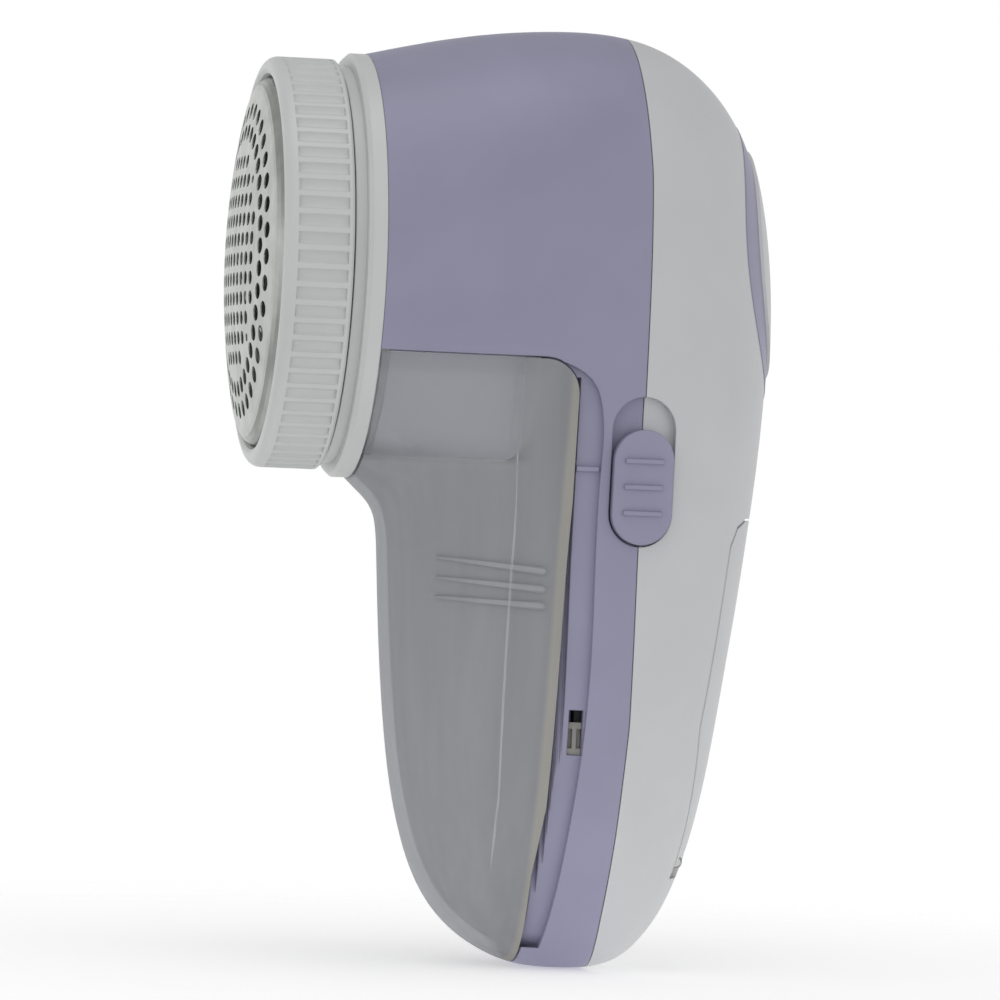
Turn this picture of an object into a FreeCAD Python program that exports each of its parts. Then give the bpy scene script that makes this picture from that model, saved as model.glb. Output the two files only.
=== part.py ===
import FreeCAD, Part
import math
import os
from FreeCAD import Vector as V

os.makedirs("parts", exist_ok=True)

# ---------------------------------------------------------------- overall sizes (mm)
body_h = 137.0            # height of the shell over its foot
head_z = 101.4            # height of the cutter axis
barrel_r = 31.0           # radius of the barrel where it meets the collar
body_front_x = -33.0      # plane the collar seats on
crown_x = 0.5             # highest point of the shell
back_x = 28.4             # furthest point of the back
back_z = 90.0             # height of that point
grip_half_w = 24.0        # half width of the handle
grip_top_z = 60.0         # height where handle sections become level
foot_half_len = 4.3       # flat of the foot, front to back
foot_half_w = 6.5         # flat of the foot, side to side

# ---------------------------------------------------------------- walls and fits
shell_t = 2.2             # housing wall
bin_t = 1.6               # lint bin wall
rim_t = 2.3               # thickened rear rim of the bin
cover_t = 1.8             # battery cover wall
move_gap = 0.3            # clearance between parts that move on each other
run_gap = 0.03            # radial clearance of a running fit
seat_gap = 0.05           # clearance of parts that are fitted once
seam_gap = 0.12           # line between the two housings

# ---------------------------------------------------------------- head
ring_r = 30.0             # guard ring
ring_front_x = -47.5
ring_rear_x = -37.6
flute_count = 72
flute_r = 1.0
flute_depth = 0.55
ring_lip_r = 27.25        # opening of the ring at the front
ring_bore_r = 27.5
foil_apex_x = -51.2
foil_dome_r = 117.0
foil_t = 0.25
foil_edge_r = 26.9
neck_r = 29.0
collar_r = 31.0
collar_flange_x = -35.7
spigot_front_x = -43.3
chamber_r = 25.0
thread_lead = 26.0        # travel of the ring for one full turn
lug_x = -41.0
lug_r = 1.0
lug_count = 3
chamber_wall_t = 1.8

# ---------------------------------------------------------------- lint bin
bin_top_z = 88.5
bin_corner_r = 5.0
hood_low_z = 73.0
ledge_d = 1.0             # depth of the ledge behind the bin

# ---------------------------------------------------------------- switch
knob_w = 9.0
knob_h = 16.6
knob_x = 6.4
knob_z = 70.6
knob_travel = 4.4
knob_proud = 1.3
pocket_d = 1.5

# ---------------------------------------------------------------- motor
motor_r = 10.05
motor_half_h = 7.55
motor_front_x = -30.8
motor_len = 25.0
shaft_r = 1.0

# ---------------------------------------------------------------- batteries
cell_r = 7.25
cell_len = 50.5
cell_y = 7.4
cell_tilt = 7.0
cell_foot = V(7.2, 0, 16.8)

# ---------------------------------------------------------------- cover and back
cover_top_z = 66.7
cover_half_w = 15.3
cover_foot_w = 10.5
hinge_z = 16.0
hinge_depth = 1.6
hinge_pin_r = 0.8
badge_z = 104.2
badge_half_h = 20.7
badge_half_w = 16.0
badge_band = 3.8


def move(shape, x=0.0, y=0.0, z=0.0):
    s = shape.copy()
    s.translate(V(x, y, z))
    return s


def box(x0, x1, y0, y1, z0, z1):
    return Part.makeBox(x1 - x0, y1 - y0, z1 - z0, V(x0, y0, z0))


def rod_x(r, x0, x1, y=0.0, z=head_z):
    """A round bar along X."""
    return Part.makeCylinder(r, x1 - x0, V(x0, y, z), V(1, 0, 0))


def tube_x(r_out, r_in, x0, x1, y=0.0, z=head_z):
    return rod_x(r_out, x0, x1, y, z).cut(rod_x(r_in, x0 - 1, x1 + 1, y, z))


def turned(profile):
    """Revolve a closed (radius, x) polygon about the head axis."""
    pts = [V(x, 0, head_z + r) for r, x in profile]
    face = Part.Face(Part.makePolygon(pts + [pts[0]]))
    return face.revolve(V(0, 0, head_z), V(1, 0, 0), 360)


def about_head(shape, deg):
    s = shape.copy()
    s.rotate(V(0, 0, head_z), V(1, 0, 0), deg)
    return s


def both_sides(shape):
    return [shape, shape.mirror(V(0, 0, 0), V(0, 1, 0))]


def prism_y(points, y0=-60.0, y1=60.0):
    """Extrude a closed outline in X-Z along Y."""
    pts = [V(x, y0, z) for x, z in points]
    face = Part.Face(Part.makePolygon(pts + [pts[0]]))
    return face.extrude(V(0, y1 - y0, 0))


def prism_x(points, x0=10.0, x1=45.0):
    """Extrude a closed outline in Y-Z along X."""
    pts = [V(x0, y, z) for y, z in points]
    face = Part.Face(Part.makePolygon(pts + [pts[0]]))
    return face.extrude(V(x1 - x0, 0, 0))


def oval_x(half_w, half_h, z, x0=10.0, x1=45.0):
    """An oval bar along X, taller than it is wide."""
    e = Part.Ellipse(V(x0, 0, z + half_h), V(x0, half_w, z), V(x0, 0, z))
    face = Part.Face(Part.Wire([e.toShape()]))
    return face.extrude(V(x1 - x0, 0, 0))


def obround_y(x, z0, z1, w, y0, y1):
    """A slot-shaped bar along Y standing upright."""
    r = w / 2
    body = box(x - r, x + r, y0, y1, z0 + r, z1 - r)
    low = Part.makeCylinder(r, y1 - y0, V(x, y0, z0 + r), V(0, 1, 0))
    high = Part.makeCylinder(r, y1 - y0, V(x, y0, z1 - r), V(0, 1, 0))
    return body.fuse([low, high]).removeSplitter()


def one_solid(shape):
    """Keep the largest solid of a boolean result."""
    solids = sorted(shape.Solids, key=lambda s: s.Volume)
    return solids[-1]


def save(name, shape):
    solids = shape.Solids
    out = solids[0] if len(solids) == 1 else Part.makeCompound(solids)
    out.exportStep("parts/" + name + ".step")
    print(name, len(solids), out.isValid(), round(out.Volume, 1))


# ---------------------------------------------------------------- body envelope
def power_point(cx, cz, rx, rz, n, deg):
    c = math.cos(math.radians(deg))
    s = math.sin(math.radians(deg))
    return (cx + rx * c ** (2 / n), cz + rz * s ** (2 / n))


def profile_curve(points):
    curve = Part.BSplineCurve()
    curve.interpolate([V(x, 0, z) for x, z in points])
    return curve


outer_points = [(body_front_x, head_z + barrel_r)]
outer_points += [(body_front_x * 0.55, body_h - 1.3), (crown_x, body_h)]
for bend in (60, 42, 26, 11):
    outer_points.append(power_point(crown_x, back_z, back_x - crown_x, body_h - back_z, 2.55, bend))
outer_points += [(back_x, back_z), (back_x - 1.5, 68.0), (back_x - 5.3, 38.5)]
outer_points += [(back_x - 10.1, 14.7), (back_x - 14.4, 5.7), (back_x - 19.5, 1.0), (foot_half_len, 0)]
inner_points = [(body_front_x, head_z - barrel_r), (-31.5, 68.9), (-28.9, 65.9), (-27.9, 62.0)]
inner_points += [(-27.1, 51.0), (-26.2, 40.0), (-24.9, 29.0), (-22.8, 19.0)]
inner_points += [(-17.8, 8.0), (-10.6, 2.0), (-foot_half_len, 0)]
outer_curve = profile_curve(outer_points)
inner_curve = profile_curve(inner_points)


def crossing(curve, test):
    """Point where a yes/no test along the curve changes."""
    lo = curve.FirstParameter
    hi = curve.LastParameter
    start = test(curve.value(lo))
    for _ in range(50):
        mid = (lo + hi) / 2
        if test(curve.value(mid)) == start:
            lo = mid
        else:
            hi = mid
    return curve.value((lo + hi) / 2)


def section_points(a, b, half_w, n, count=32):
    mid = (a + b) * 0.5
    half = (b - a) * 0.5
    pts = []
    for i in range(count):
        t = 2 * math.pi * i / count
        c = math.cos(t)
        s = math.sin(t)
        u = math.copysign(abs(c) ** (2 / n), c)
        v = math.copysign(abs(s) ** (2 / n), s)
        pts.append(mid + half * u + V(0, half_w * v, 0))
    return pts


def skin(sections):
    """One smooth surface through rings of points, closed with flat ends."""
    rings = []
    for pts in sections:
        curve = Part.BSplineCurve()
        knots = [float(i) for i in range(len(pts) + 1)]
        curve.interpolate(Points=pts, PeriodicFlag=True, Parameters=knots)
        rings.append(curve)
    steps = [0.0]
    for one, two in zip(sections, sections[1:]):
        gap = sum((p - q).Length for p, q in zip(one, two)) / len(one)
        steps.append(steps[-1] + max(0.5, gap))
    rows = []
    for j in range(rings[0].NbPoles):
        curve = Part.BSplineCurve()
        curve.interpolate(Points=[r.getPole(j + 1) for r in rings], Parameters=steps)
        rows.append(curve)
    surface = Part.BSplineSurface()
    surface.buildFromPolesMultsKnots(
        [r.getPoles() for r in rows], rings[0].getMultiplicities(), rows[0].getMultiplicities(),
        rings[0].getKnots(), rows[0].getKnots(), True, False, rings[0].Degree, rows[0].Degree)
    bounds = surface.bounds()
    faces = [surface.toShape()]
    for v in (bounds[2], bounds[3]):
        faces.append(Part.Face(Part.Wire([surface.vIso(v).toShape()])))
    shell = Part.makeShell(faces)
    shell.sewShape()
    solid = Part.Solid(shell.Shells[0])
    if solid.Volume < 0:
        solid.reverse()
    return solid


def envelope(t):
    """The body shape with every side taken in by t."""
    pivot = V(body_front_x, 0, grip_top_z)
    sections = []
    for k in range(10):
        phi = 90 - 10 * k
        ang = math.radians(phi)
        across = V(-math.sin(ang), 0, math.cos(ang))
        if k == 0:
            a = V(body_front_x, 0, head_z - barrel_r)
            b = V(body_front_x, 0, head_z + barrel_r)
        elif phi == 0:
            a = crossing(inner_curve, lambda p: p.z > grip_top_z)
            b = crossing(outer_curve, lambda p: p.z > grip_top_z)
        else:
            a = crossing(inner_curve, lambda p: (p - pivot).dot(across) > 0)
            b = crossing(outer_curve, lambda p: (p - pivot).dot(across) > 0)
        half_w = grip_half_w + (barrel_r - grip_half_w) * (phi / 90) ** 1.5
        n = 2.0 + 0.3 * (1 - phi / 90)
        d = (b - a).normalize()
        sections.append(section_points(a + d * t, b - d * t, half_w - t, n))
    for z in (48.0, 36.0, 26.0, 18.0, 12.0, 7.5, 4.0, 1.6, 0.0):
        if z > 0:
            a = crossing(inner_curve, lambda p: p.z > z)
            b = crossing(outer_curve, lambda p: p.z > z)
        else:
            a = V(-foot_half_len, 0, 0)
            b = V(foot_half_len, 0, 0)
        drop = 1 - ((grip_top_z - z) / grip_top_z) ** 2.6
        half_w = foot_half_w + (grip_half_w - foot_half_w) * drop ** 0.5
        lift = t + z * (grip_top_z - t) / grip_top_z
        a = V(a.x, 0, lift)
        b = V(b.x, 0, lift)
        d = (b - a).normalize()
        sections.append(section_points(a + d * t, b - d * t, half_w - t, 2.3))
    return skin(sections)


def outer_x(z):
    """How far back the shell reaches at a height below the back."""
    return crossing(outer_curve, lambda p: p.z > z).x


# ---------------------------------------------------------------- dividing outlines
def seam_side(x_shift, far_x):
    """Everything on one side of the line between the two housings."""
    line = [(5.1, 142.0), (5.6, 130.0), (6.3, 116.0), (6.3, 36.0), (5.4, 20.0), (4.5, 8.0), (4.0, -4.0)]
    pts = [(x + x_shift, z) for x, z in line]
    return prism_y([(far_x, 142.0)] + pts + [(far_x, -4.0)])


def bin_edge(z):
    """Rear edge of the lint bin at a height."""
    table = [(3.5, -6.6), (14.0, -6.5), (24.0, -5.2), (33.0, -4.9), (57.0, -4.2), (68.0, -3.7), (86.0, -3.6)]
    if z <= table[0][0]:
        return table[0][1]
    for (z0, x0), (z1, x1) in zip(table, table[1:]):
        if z <= z1:
            return x0 + (x1 - x0) * (z - z0) / (z1 - z0)
    return table[-1][1]


def bin_region(off, front_x=-60.0):
    """The part of the body taken by the lint bin, grown by off."""
    top = bin_top_z + off
    rear = bin_edge(86.0) + off
    r = bin_corner_r + off
    pts = [(front_x, -6.0), (bin_edge(0.0) + off, -6.0)]
    for z in (3.5, 14.0, 24.0, 33.0, 45.0, 57.0, 68.0):
        pts.append((bin_edge(z) + off, z))
    for k in range(9):
        a = math.radians(90 * k / 8)
        pts.append((rear - r + r * math.cos(a), top - r + r * math.sin(a)))
    pts.append((front_x, top))
    return prism_y(pts)


def partition_region(off, front_x=-60.0):
    """The same region with an upright rear side, grown by off: the back of the wall behind the bin."""
    rear = bin_edge(86.0) + off
    r = bin_corner_r + off
    pts = [(front_x, -6.0), (rear, -6.0)]
    for k in range(9):
        a = math.radians(90 * k / 8)
        pts.append((rear - r + r * math.cos(a), bin_top_z + off - r + r * math.sin(a)))
    pts.append((front_x, bin_top_z + off))
    return prism_y(pts)


def half_width(z):
    """Half width of the body near its middle at a height."""
    if z <= grip_top_z:
        drop = 1 - ((grip_top_z - z) / grip_top_z) ** 2.6
        return foot_half_w + (grip_half_w - foot_half_w) * drop ** 0.5
    phi = math.degrees(math.atan((z - grip_top_z) / (-5.0 - body_front_x)))
    return grip_half_w + (barrel_r - grip_half_w) * (phi / 90) ** 1.5


def slide_way():
    """Room for the rear rims of the bin to pass down the sides of the front housing."""
    levels = [8.0, 14.0, 20.0, 26.0, 32.0, 38.0, 44.0, 50.0, 57.0, 64.0, 71.0, 78.0, 86.0]
    bars = []
    for z0, z1 in zip(levels, levels[1:]):
        y0 = half_width(z0) - rim_t - move_gap
        bars += both_sides(box(-14.0, bin_edge(z1) + move_gap, y0, 45.0, -6.0, z1))
    return bars


def ledge_region():
    """The strip behind the bin that is set back into the front housing."""
    knots = [(-3.9, 3.2), (-3.2, 7.5), (-1.7, 20.0), (-0.4, 34.0), (0.1, 54.0), (0.2, 73.0), (-0.1, 81.9)]
    knots += [(-1.5, 85.4), (-4.0, 87.3), (-7.2, 88.4)]
    rear = [(p.x, p.z) for p in profile_curve(knots).discretize(60)]
    return prism_y(rear + [(-14.0, 88.4), (-14.0, 3.2)])


def cover_outline(inset):
    """Outline of the battery opening from behind."""
    w = cover_half_w - inset
    f = cover_foot_w - inset
    top = cover_top_z - inset
    low = hinge_z - 2.3 + inset
    half = [(f, low), (w, 36.0), (w, top - 4.0), (w - 1.2, top - 1.2), (w - 4.0, top)]
    return half + [(-y, z) for y, z in reversed(half)]


# ---------------------------------------------------------------- shared solids
skin_out = envelope(0.0)
skin_in = envelope(shell_t)
front_side = seam_side(-seam_gap / 2, -60.0)
rear_side = seam_side(seam_gap / 2, 60.0)
hinge_x = outer_x(hinge_z) - hinge_depth


def motor_body(grow):
    """Outside of the flat-sided motor can."""
    x0 = motor_front_x
    can = rod_x(motor_r + grow, x0 - grow, x0 + motor_len + grow)
    h = motor_half_h + grow
    return can.common(box(x0 - 9, x0 + motor_len + 9, -20, 20, head_z - h, head_z + h))


def in_bay(shape):
    """Place a shape drawn about the foot of the battery pair."""
    s = shape.copy()
    s.rotate(V(0, 0, 0), V(0, 1, 0), cell_tilt)
    s.translate(cell_foot)
    return s


# ---------------------------------------------------------------- housings
screw_spots = [(12.2, 95.0), (7.5, 8.0)]   # x of the head seat, z of the axis
screw_len = 11.0
screw_r = 1.25
screw_head_r = 2.4
screw_head_h = 1.8
latch_window = (-2.6, -0.5, 31.7, 38.2)   # x from, x to, z from, z to
latch_y = 21.3


def latch_windows():
    x0, x1, z0, z1 = latch_window
    return Part.makeCompound(both_sides(box(x0, x1, 18.0, 40.0, z0, z1)))


def switch_cut():
    """Pocket for the knob and the slot for its stem, on the -Y side."""
    g = move_gap
    z0 = knob_z - knob_h / 2 - g
    z1 = knob_z + knob_h / 2 + knob_travel + g
    pocket = obround_y(knob_x, z0, z1, knob_w + 2 * g, -40, -15).cut(envelope(pocket_d))
    slot = box(knob_x - 1.7, knob_x + 1.7, -40, -15, knob_z - 1.9, knob_z + 1.9 + knob_travel)
    return pocket.fuse(slot)


def chamber_bosses(r, x0, x1):
    """Bars at the three fixing points of the chamber wall."""
    bars = []
    for deg in (90.0, 14.0, 166.0):
        a = math.radians(deg)
        bars.append(rod_x(r, x0, x1, 26.6 * math.cos(a), head_z + 26.6 * math.sin(a)))
    return bars


def front_housing():
    s = skin_out.common(front_side)
    s = s.cut(bin_region(move_gap))
    x_wall = body_front_x + chamber_wall_t + seat_gap
    hollow = skin_in.cut(partition_region(move_gap + 1.8, x_wall))
    s = s.cut(hollow)
    strip = ledge_region().cut(envelope(ledge_d))
    ribs = box(-14, 0, -40, 40, 72.6, 73.3).cut(envelope(ledge_d * 0.4))
    s = s.cut(strip.cut(box(-14, 0, -40, 40, 72.6, 73.3))).cut(ribs.common(ledge_region()))
    up = box(-1.9, screw_spots[0][0] - 6.2, -3.6, 3.6, 81.0, 98.6)
    low = rod_x(2.9, -5.0, 4.2, 0, screw_spots[1][1])
    s = s.fuse([up, low.common(skin_out)])
    for x, z in screw_spots:
        s = s.cut(rod_x(screw_r + seat_gap, x - screw_len - 0.3, x, 0, z))
    s = s.cut(latch_windows()).cut(slide_way())
    return one_solid(s.cut(switch_cut()))


def rear_housing():
    s = skin_out.common(rear_side)
    s = s.cut(skin_in)
    s = s.cut(prism_x(cover_outline(0.0), 8.0))
    for y in (-6.8, 4.3):
        foot = box(hinge_x - hinge_depth, hinge_x + 6, y, y + 2.5, hinge_z - 4, hinge_z)
        eye = Part.makeCylinder(hinge_depth, 2.5, V(hinge_x, y, hinge_z), V(0, 1, 0))
        s = s.fuse([foot.common(skin_out), eye.common(skin_out)])
    for x, z in screw_spots:
        post_r = 3.4 if z > 50 else 2.9
        post_x = x - 5.6 if z > 50 else 4.7
        post = rod_x(post_r, post_x, 40, 0, z).common(skin_out)
        s = s.fuse(post)
        s = s.cut(rod_x(screw_head_r + 0.2, x, 50, 0, z))
        s = s.cut(rod_x(screw_r + 0.15, x - 9, x + 1, 0, z))
    pin = Part.makeCylinder(hinge_pin_r + run_gap, 13.8, V(hinge_x, -6.9, hinge_z), V(0, 1, 0))
    s = s.cut(pin)
    s = s.cut(oval_x(badge_half_w, badge_half_h, badge_z).cut(envelope(1.05)))
    scoop = Part.makeSphere(14.0, V(outer_x(70.5) + 13.1, 0, 71.5))
    s = s.cut(scoop)
    for y in (-cell_y, cell_y):
        room = Part.makeCylinder(cell_r + 0.15, cell_len + 0.4, V(0, y, -0.2), V(0, 0, 1))
        s = s.cut(in_bay(room))
    return one_solid(s.cut(switch_cut()))


def accent_ring():
    band = oval_x(badge_half_w - seat_gap, badge_half_h - seat_gap, badge_z)
    band = band.cut(oval_x(badge_half_w - badge_band, badge_half_h - badge_band, badge_z))
    return one_solid(band.common(envelope(-0.1)).cut(envelope(1.0)))


def badge_panel():
    w = badge_half_w - badge_band - seat_gap
    h = badge_half_h - badge_band - seat_gap
    return one_solid(oval_x(w, h, badge_z).common(envelope(-0.55)).cut(envelope(1.0)))


# ---------------------------------------------------------------- collar and chamber
def lugs():
    out = []
    for k in range(lug_count):
        pin = Part.makeCylinder(lug_r, 2.9, V(lug_x, 0, head_z + 25.3), V(0, 0, 1))
        out.append(about_head(pin, 180 + 360 * k / lug_count))
    return out


def collar():
    spigot_r = ring_bore_r - move_gap
    prof = [(chamber_r, spigot_front_x), (spigot_r - 0.5, spigot_front_x), (spigot_r, spigot_front_x + 0.5)]
    prof += [(spigot_r, ring_rear_x + move_gap), (neck_r, ring_rear_x + move_gap), (neck_r, collar_flange_x)]
    prof += [(collar_r - 0.6, collar_flange_x), (collar_r, collar_flange_x + 0.6)]
    prof += [(collar_r, body_front_x - seat_gap), (chamber_r, body_front_x - seat_gap)]
    s = turned(prof).fuse(lugs())
    for hole in chamber_bosses(1.0, -38.0, body_front_x + 1):
        s = s.cut(hole)
    return one_solid(s)


def chamber_wall():
    x0 = body_front_x
    disc = rod_x(barrel_r - shell_t - 0.65, x0, x0 + chamber_wall_t)
    split_z = bin_top_z + move_gap
    high = disc.common(box(x0 - 1, x0 + 5, -40, 40, split_z, 200))
    low = disc.common(box(x0 - 1, x0 + 5, -40, 40, 0, split_z)).common(envelope(rim_t + 0.45))
    s = high.fuse(low)
    s = s.cut(rod_x(3.3, x0 - 1, x0 + 5))
    outlet = rod_x(23.6, x0 - 1, x0 + 5).common(box(x0 - 2, x0 + 6, -40, 40, 0, bin_top_z - 0.5))
    s = s.cut(outlet)
    for hole in chamber_bosses(1.15, x0 - 1, x0 + 5):
        s = s.cut(hole)
    return one_solid(s)


def chamber_screws():
    x0 = body_front_x + chamber_wall_t
    shanks = chamber_bosses(0.95, -37.6, x0 + 0.2)
    heads = chamber_bosses(1.9, x0 + 0.02, x0 + 1.6)
    out = []
    for shank, head in zip(shanks, heads):
        out.append(shank.fuse(head).removeSplitter())
    return Part.makeCompound(out)


def lint_hood():
    """Duct from the chamber outlet down into the bin."""
    x0 = body_front_x + chamber_wall_t + 0.05
    top = bin_top_z + move_gap - seat_gap
    x1 = -9.0

    def region(off):
        r = 7.0 - off
        pts = [(x0 - 1 if off else x0, top + off), (x0 - 1 if off else x0, hood_low_z - off)]
        cx = x1 - off - r
        cz = hood_low_z + 7.0
        for k in range(7):
            a = math.radians(-90 + 90 * k / 6)
            pts.append((cx + r * math.cos(a), cz + (cz - hood_low_z + off) * math.sin(a)))
        pts.append((x1 - off, top + off))
        return prism_y(pts)

    s = envelope(rim_t + move_gap + 0.3).common(region(0.0))
    s = s.cut(envelope(rim_t + move_gap + 1.5).common(region(1.2)))
    return one_solid(s)


# ---------------------------------------------------------------- guard ring and foil
def thread_grooves():
    """Helical ways for the lugs, open at the back of the ring."""
    lead_in = 3.4
    x0 = lug_x - thread_lead * lead_in / 360
    length = -36.0 - x0
    out = []
    r0 = ring_bore_r - 0.6
    r1 = ring_bore_r + 1.0
    for k in range(lug_count):
        path = Part.makeHelix(thread_lead, length, ring_bore_r)
        h = lug_r + move_gap + 0.05
        pts = [V(r0, 0, -h), V(r1, 0, -h), V(r1, 0, h), V(r0, 0, h), V(r0, 0, -h)]
        sweep = Part.Wire(path).makePipeShell([Part.makePolygon(pts)], True, True)
        sweep.rotate(V(0, 0, 0), V(0, 1, 0), 90)
        sweep.rotate(V(0, 0, 0), V(1, 0, 0), -lead_in)
        sweep.translate(V(x0, 0, head_z))
        out.append(about_head(sweep, 360 * k / lug_count))
    return out


def guard_ring():
    x0 = ring_front_x
    groove_x0 = -44.7
    prof = [(ring_lip_r, x0 + 0.9), (ring_lip_r + 0.25, x0 + 0.3), (ring_lip_r + 0.8, x0)]
    for k in range(7):
        a = math.radians(90 - 90 * k / 6)
        prof.append((ring_r - 1.7 + 1.7 * math.cos(a), x0 + 1.7 - 1.7 * math.sin(a)))
    prof += [(ring_r, ring_rear_x - 0.3), (ring_r - 0.3, ring_rear_x), (ring_bore_r, ring_rear_x)]
    prof += [(ring_bore_r, spigot_front_x), (28.4, spigot_front_x), (28.4, groove_x0), (ring_lip_r, groove_x0)]
    s = turned(prof)
    cutters = []
    for k in range(flute_count):
        bar = rod_x(flute_r, -45.6, -38.4, 0, head_z + ring_r + flute_r - flute_depth)
        cutters.append(about_head(bar, 360.0 * k / flute_count))
    s = s.cut(Part.makeCompound(cutters))
    for groove in thread_grooves():
        s = s.cut(groove)
    return one_solid(s)


def dome_x(r, inset):
    """Where the domed foil stands at a radius."""
    rad = foil_dome_r - inset
    return foil_apex_x + foil_dome_r - math.sqrt(rad * rad - r * r)


def foil_holes():
    spots = []
    for radius, shift in ((21.9, 0.0), (18.8, 0.5)):
        for k in range(36):
            a = 2 * math.pi * (k + shift) / 36
            spots.append((radius * math.cos(a), radius * math.sin(a), 1.17))
    pitch = 2.85
    for i in range(-6, 7):
        for j in range(-6, 7):
            y = i * pitch
            z = j * pitch
            d = math.hypot(y, z)
            if d < 15.6:
                spots.append((y, z, 0.98))
            elif d < 16.6:
                spots.append((y, z, 0.6))
    return spots


def shaving_foil():
    edge = foil_edge_r
    t = foil_t
    prof = []
    for k in range(26):
        prof.append((k * 1.0, dome_x(k * 1.0, 0.0)))
    x25 = dome_x(25.0, 0.0)
    prof += [(25.7, x25 + 0.25), (26.35, x25 + 0.75), (26.75, x25 + 1.4), (edge, x25 + 2.2), (edge, -44.65)]
    prof += [(edge - t, -44.65), (edge - t, x25 + 2.25), (26.5, x25 + 1.5), (26.15, x25 + 0.92)]
    prof += [(25.6, x25 + 0.5)]
    for k in range(25, -1, -1):
        prof.append((k * 0.998, dome_x(k * 0.998, t)))
    arc_out = Part.Arc(V(prof[0][1], 0, head_z), V(prof[12][1], 0, head_z + 12), V(x25, 0, head_z + 25))
    inner = prof[36:]
    arc_in = Part.Arc(V(inner[0][1], 0, head_z + inner[0][0]), V(inner[12][1], 0, head_z + inner[12][0]),
                      V(inner[-1][1], 0, head_z))
    edges = [arc_out.toShape()]
    mid = prof[25:37]
    for (r0, xa), (r1, xb) in zip(mid, mid[1:]):
        edges.append(Part.makeLine(V(xa, 0, head_z + r0), V(xb, 0, head_z + r1)))
    edges.append(arc_in.toShape())
    edges.append(Part.makeLine(V(inner[-1][1], 0, head_z), V(prof[0][1], 0, head_z)))
    face = Part.Face(Part.Wire(Part.__sortEdges__(edges)))
    s = face.revolve(V(0, 0, head_z), V(1, 0, 0), 360)
    bars = [rod_x(r, -54, -46.5, y, head_z + z) for y, z, r in foil_holes()]
    return one_solid(s.cut(Part.makeCompound(bars)))


def foil_frame():
    x_front = dome_x(25.0, 0.0) + 1.0
    prof = [(25.4, x_front), (26.3, x_front + 1.2), (26.3, -44.4), (28.1, -44.4), (28.1, -43.65), (25.4, -43.65)]
    return turned(prof)


# ---------------------------------------------------------------- cutter
carrier_front_x = -47.2
carrier_rear_x = -44.6


def blade_carrier():
    s = rod_x(21.0, -45.8, carrier_rear_x)
    s = s.fuse(rod_x(6.0, -48.6, carrier_rear_x))
    for k in range(3):
        s = s.fuse(about_head(box(carrier_front_x, -45.7, -2.2, 2.2, head_z + 5, head_z + 20.5), 120 * k))
        s = s.cut(about_head(rod_x(3.4, -50, -40, 0, head_z + 14.0), 60 + 120 * k))
    s = s.cut(rod_x(shaft_r + seat_gap, -52, -40))
    for k in range(3):
        s = s.cut(about_head(box(-49, -46.6, -0.65, 0.65, head_z + 4, head_z + 22), 120 * k))
    return one_solid(s)


def blades():
    """Three thin blades whose edges follow the dome of the foil."""
    gap = move_gap + foil_t
    tip = turned([(0, -46.5), (0, dome_x(0, gap))] + [(r, dome_x(r, gap)) for r in (5, 10, 15, 19, 23)]
                 + [(23, -46.5)])
    out = []
    for k in range(3):
        plate = box(-52, -46.62, -0.6, 0.6, head_z + 6.2, head_z + 22.8)
        out.append(about_head(plate.common(tip), 120 * k))
    return Part.makeCompound(out)


def carrier_cap():
    s = rod_x(3.0, -50.0, -48.65)
    return s.makeFillet(0.6, [s.Edges[0]])


def impeller():
    """Fan behind the blades that throws the lint to the outlet."""
    s = rod_x(20.0, carrier_rear_x + 0.05, -43.4)
    for k in range(6):
        fin = box(-43.5, -36.2, -0.6, 0.6, head_z + 5.6, head_z + 20.0)
        s = s.fuse(about_head(fin, 60 * k + 30))
    s = s.cut(rod_x(4.05, -50, -30))
    for k in range(3):
        s = s.cut(about_head(rod_x(3.4, -50, -43, 0, head_z + 14.0), 60 + 120 * k))
    return one_solid(s)


def drive_coupling():
    s = rod_x(4.0, carrier_rear_x + 0.05, -35.2)
    s = s.fuse(rod_x(5.2, -36.6, -35.2))
    return one_solid(s.cut(rod_x(shaft_r + seat_gap, -60, -30)))


# ---------------------------------------------------------------- motor
def motor_can():
    x0 = motor_front_x
    s = motor_body(0.0)
    inside = motor_body(-1.0).fuse(move(motor_body(-1.0), 2.0))
    s = s.cut(inside)
    s = s.fuse(rod_x(3.05, x0 - 1.6, x0 + 0.5))
    return one_solid(s.cut(rod_x(2.2, x0 - 3, x0 + 2)))


def motor_bushes():
    x0 = motor_front_x
    x1 = x0 + motor_len
    front = tube_x(2.2 - 0.02, shaft_r + run_gap, x0 - 1.5, x0 + 1.2)
    rear = tube_x(2.2 - 0.02, shaft_r + run_gap, x1 + 0.6, x1 + 3.3)
    return Part.makeCompound([front, rear])


def motor_end_cap():
    x1 = motor_front_x + motor_len
    h = motor_half_h
    plate = rod_x(motor_r, x1 + 0.02, x1 + 2.2).common(box(x1 - 5, x1 + 5, -20, 20, head_z - h, head_z + h))
    s = plate.fuse(rod_x(3.6, x1 + 1, x1 + 3.6))
    s = s.cut(rod_x(2.2, x1 - 1, x1 + 3.3)).cut(rod_x(1.4, x1, x1 + 5))
    for side in both_sides(box(x1 - 1, x1 + 4, 5.4, 6.4, head_z - 1.8, head_z + 1.8)):
        s = s.cut(side)
    return one_solid(s)


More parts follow.
